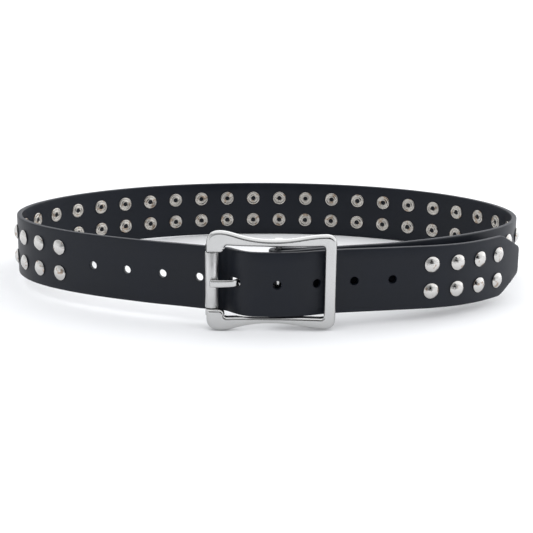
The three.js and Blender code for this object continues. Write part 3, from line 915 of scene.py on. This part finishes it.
# %% Rods, shoulders and lugs
def rod(radius, length, across, forward, height, sides=40):
    half = length / 2
    shape = turned_shape([
        (0, -half), (radius - 0.5, -half), (radius - 0.15, 0.15 - half), (radius, 0.5 - half),
        (radius, half - 0.5), (radius - 0.15, half - 0.15), (radius - 0.5, half), (0, half),
    ], sides)
    turn = Matrix.Rotation(math.radians(90), 4, "X")
    bmesh.ops.transform(shape, matrix=Matrix.Translation((across, height, forward)) @ turn, verts=shape.verts)
    return shape


def lug(side):
    shape = bmesh.new()
    bmesh.ops.create_cube(shape, size=1)
    height = waist_half - opening_half_at_waist - 0.6
    back = -bar_radius
    front = rail_forward + frame_thickness / 2
    size = Matrix.Diagonal((bar_diameter + 1, height, front - back, 1))
    place = Matrix.Translation((bar_side, side * (opening_half_at_waist + height / 2), (back + front) / 2))
    bmesh.ops.transform(shape, matrix=place @ size, verts=shape.verts)
    bmesh.ops.bevel(
        shape, geom=shape.edges[:], offset=0.6, offset_type="OFFSET", segments=2, profile=0.5, affect="EDGES",
        clamp_overlap=False, material=-1,
    )
    return shape


boss_height = 4.5
boss_radius = roller_diameter / 2 - 0.1
boss_middle = mouth_half + boss_height / 2
casting = plate
for extra in (
    rod(boss_radius, boss_height, -roller_reach, roller_forward, boss_middle),
    rod(boss_radius, boss_height, -roller_reach, roller_forward, -boss_middle),
    rod(axle_diameter / 2, 2 * mouth_half + 2, -roller_reach, roller_forward, 0),
    rod(bar_radius, 2 * opening_half_at_waist + 2, bar_side, 0, 0),
    lug(1),
    lug(-1),
):
    casting = combined(casting, extra, "UNION")

# the buckle is drawn with height along Y and forward along Z, so it is stood up
buckle_place = Matrix.Translation((buckle_across, bar_depth_place, buckle_middle))
stand_up = buckle_place @ Matrix.Rotation(math.radians(90), 4, "X")
bmesh.ops.transform(casting, matrix=rest @ stand_up, verts=casting.verts)
buckle_casting = make_piece("buckle_casting", casting, [cast_metal])
weighted = buckle_casting.modifiers.new("even shading", "WEIGHTED_NORMAL")
weighted.keep_sharp = True
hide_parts("buckle_frame")

# %% [markdown]
# The roller is a thin tube that turns on the axle, so the strap slides in easily.

# %% The roller
outer = roller_diameter / 2
inner = outer - roller_wall
half = roller_length / 2
tube = turned_shape([
    (inner, -half + 0.2), (inner + 0.2, -half), (outer - 0.4, -half), (outer - 0.12, 0.12 - half),
    (outer, 0.4 - half), (outer, half - 0.4), (outer - 0.12, half - 0.12), (outer - 0.4, half),
    (inner + 0.2, half), (inner, half - 0.2),
    (inner, -half + 0.2),
], 48)
turn = Matrix.Rotation(math.radians(90), 4, "X")
place = rest @ stand_up @ Matrix.Translation((-roller_reach, 0, roller_forward)) @ turn
bmesh.ops.transform(tube, matrix=place, verts=tube.verts)
bmesh.ops.recalc_face_normals(tube, faces=tube.faces)
roller_tube = make_piece("roller_tube", tube, [tube_metal])
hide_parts("roller")

# %% [markdown]
# The prong is a bar bent round the centre bar at one end. It comes up through the hole in use and its
# tip lies on the roller.

# %% The prong
prong_half = prong_thickness / 2
cast_places = prong_track(cast_line)
upper, lower = [], []
for k, place in enumerate(cast_places[::2]):
    along = (cast_places[min(60, 2 * k + 1)] - cast_places[max(0, 2 * k - 1)]).normalized()
    normal = Vector((along.y, -along.x)) * prong_half
    left = 30 - k
    share = 1 if left > 2 else (0.25, 0.75, 0.93)[left]
    upper.append(place + normal * share)
    lower.append(place - normal)
side_rows = upper + lower[::-1]
shank = bmesh.new()
ring = [shank.verts.new((point.x, point.y, -prong_width / 2)) for point in side_rows]
bottom = shank.faces.new(ring)
raised = bmesh.ops.extrude_face_region(shank, geom=[bottom], use_keep_orig=True)
top = [part for part in raised["geom"] if isinstance(part, bmesh.types.BMVert)]
bmesh.ops.translate(shank, vec=(0, 0, prong_width), verts=top)
bmesh.ops.recalc_face_normals(shank, faces=shank.faces)
rims = [edge for edge in shank.edges if sum(abs(face.normal.z) > 0.9 for face in edge.link_faces) == 1]
bmesh.ops.bevel(
    shank, geom=rims, offset=0.7, offset_type="OFFSET", segments=3, profile=0.5, affect="EDGES",
    clamp_overlap=False, material=-1,
)
for vert in shank.verts:
    share = min(1, max(0, -vert.co.x / roller_reach))
    vert.co.z *= 1 + (prong_tip_width / prong_width - 1) * share
eye_outer = prong_eye_diameter / 2
eye_inner = bar_radius + 0.4
eye_half = prong_width / 2
eye = turned_shape([
    (eye_inner, -eye_half), (eye_outer - 0.5, -eye_half), (eye_outer, 0.5 - eye_half),
    (eye_outer, eye_half - 0.5), (eye_outer - 0.5, eye_half), (eye_inner, eye_half), (eye_inner, -eye_half),
], 40)
bore = rod(eye_inner, 2 * prong_width, 0, 0, 0)
bmesh.ops.transform(bore, matrix=Matrix.Rotation(math.radians(90), 4, "X"), verts=bore.verts)
for ring_shape in (eye, bore):
    bmesh.ops.translate(ring_shape, vec=(bar_side, 0, 0), verts=ring_shape.verts)
pin = combined(combined(shank, eye, "UNION"), bore, "DIFFERENCE")
# the prong's colour is mixed to near black where the strap covers it: painted shade for the shadow behind the
# strap
face_forward = bar_depth_place - (line_point(prong_length) + outward(prong_length) * half_thickness).y
painted_shade_under_strap = pin.verts.layers.float.new("painted_shade_under_strap")
for vert in pin.verts:
    vert[painted_shade_under_strap] = min(1, max(0, (face_forward + 0.4 - vert.co.y) / 0.6))
# the prong is drawn in plan, with forward along Y
turn_over = Matrix.Rotation(math.radians(180), 4, "X")
place = rest @ Matrix.Translation((buckle_across, bar_depth_place, strap_middle + 0.1)) @ turn_over
bmesh.ops.transform(pin, matrix=place, verts=pin.verts)
prong_pin = make_piece("prong_pin", pin, [pin_metal])
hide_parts("prong")

# %% [markdown]
# Two plain rivets hold the flap behind the buckle. They are hidden from the front.

# %% The rivets of the flap
outer = half_thickness + 1.2 * clearance
inner = -half_thickness - strap_thickness - 2.6 * clearance
rivet_rows = [
    (0, inner - 1), (3.3, inner - 1), (3.8, inner - 0.75), (4, inner), (1.7, inner), (1.7, outer), (4, outer),
    (3.8, outer + 0.75), (3.3, outer + 1), (0, outer + 1),
]
rivet_places = [rest @ strap_place(flap_rivet_length, height) for height in stud_heights]
rivets = copies(turned_shape(rivet_rows, 24), rivet_places)
bmesh.ops.recalc_face_normals(rivets, faces=rivets.faces)
flap_rivets = make_piece("flap_rivets", rivets, [back_metal])
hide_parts("flap_rivet_lower", "flap_rivet_upper")

# %% [markdown]
# ## Floor and light
#
# The belt stands on plain white paper in a bright studio. Large soft lights above and at both sides
# give the broad white reflections in the metal, and the dim side behind the camera keeps the leather dark.

# %% The floor
paper, _, paper_shader = principled("white paper")
paper_shader.inputs["Base Color"].default_value = (0.93, 0.935, 0.95, 1)
paper_shader.inputs["Roughness"].default_value = 0.95
paper_shader.inputs["Specular IOR Level"].default_value = 0.1
ground = bmesh.new()
bmesh.ops.create_grid(ground, x_segments=1, y_segments=1, size=9)
mesh = bpy.data.meshes.new("floor")
ground.to_mesh(mesh)
ground.free()
mesh.materials.append(paper)
floor = bpy.data.objects.new("floor", mesh)
bpy.context.scene.collection.objects.link(floor)
floor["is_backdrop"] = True

# %% The room's light
world = bpy.data.worlds.new("studio")
bpy.context.scene.world = world
world.use_nodes = True
sky = world.node_tree
bpy.context.scene.view_settings.view_transform = "Standard"
direction = add(sky, "ShaderNodeTexCoord")
axes = add(sky, "ShaderNodeSeparateXYZ")
sky.links.new(direction.outputs["Generated"], axes.inputs[0])
# the gap between the white screens, where the camera looks in: narrower towards its top
across = add(sky, "ShaderNodeMath", operation="ABSOLUTE")
sky.links.new(sum_of(sky, "SUBTRACT", axes.outputs["X"], 0.3), across.inputs[0])
reach = sum_of(sky, "MULTIPLY", sum_of(sky, "SUBTRACT", 0.92, axes.outputs["Z"]), 0.42)
gap = ramp(sky, sum_of(sky, "SUBTRACT", reach, across.outputs[0]), 0.0, 0.03)
in_front = ramp(sky, axes.outputs["Y"], -0.35, -0.25, 1.0, 0.0)
dark = sum_of(sky, "MULTIPLY", gap, in_front)
# the screens are brightest near the floor at the sides and dimmer straight in front
height_glow = ramp(sky, axes.outputs["Z"], 0.0, 0.7, 1.35, 0.72)
front_dim = ramp(sky, axes.outputs["Y"], -0.97, -0.55, 0.35, 1.0)
glow = sum_of(sky, "MULTIPLY", height_glow, front_dim)
glow = sum_of(sky, "MULTIPLY", glow, ramp(sky, dark, 0.0, 1.0, 1.0, 0.03))
seen = add(sky, "ShaderNodeLightPath").outputs["Is Camera Ray"]
strength = sum_of(sky, "MAXIMUM", glow, seen)
backdrop = sky.nodes["Background"]
backdrop.inputs["Color"].default_value = (0.97, 0.985, 1, 1)
sky.links.new(strength, backdrop.inputs["Strength"])


def soft_light(name, place, target, width, height, power, colour=(1, 1, 1)):
    light = bpy.data.lights.new(name, "AREA")
    light.shape = "RECTANGLE"
    light.size = width
    light.size_y = height
    light.energy = power
    light.color = colour
    lamp = bpy.data.objects.new(name, light)
    lamp.visible_glossy = False
    bpy.context.scene.collection.objects.link(lamp)
    direction = Vector(target) - Vector(place)
    lamp.matrix_world = Matrix.Translation(place) @ direction.to_track_quat("-Z", "Y").to_matrix().to_4x4()
    return lamp


soft_light("left", (-1.2, -0.8, 0.35), (0, 0, 0.03), 1.6, 0.7, 3, (1, 0.96, 0.97))
soft_light("right", (1.2, 0.35, 0.3), (0, 0, 0.03), 1.0, 0.6, 6)
soft_light("front right", (0.45, -0.55, 0.32), (0.15, -0.13, 0), 0.4, 0.4, 0.7)
screen = bpy.data.lights.new("overhead", "SUN")
screen.angle = math.radians(120)
screen.energy = 1.85
overhead = bpy.data.objects.new("overhead", screen)
bpy.context.scene.collection.objects.link(overhead)
overhead.matrix_world = Vector((-0.4, -0.45, -1)).to_track_quat("-Z", "Y").to_matrix().to_4x4()

# %% [markdown]
# ## The two boxes
#
# Both boxes, the imported model's and the dressed belt's, are written down. The dressed
# belt has to stay in the imported model's box.

# %% Print the two boxes
dressed_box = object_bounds()
boxes = {
    "cad": [list(corner) for corner in cad_box],
    "visual": [list(corner) for corner in dressed_box],
}
for name, corners in boxes.items():
    print(name, [[round(value * 1000, 1) for value in corner] for corner in corners])
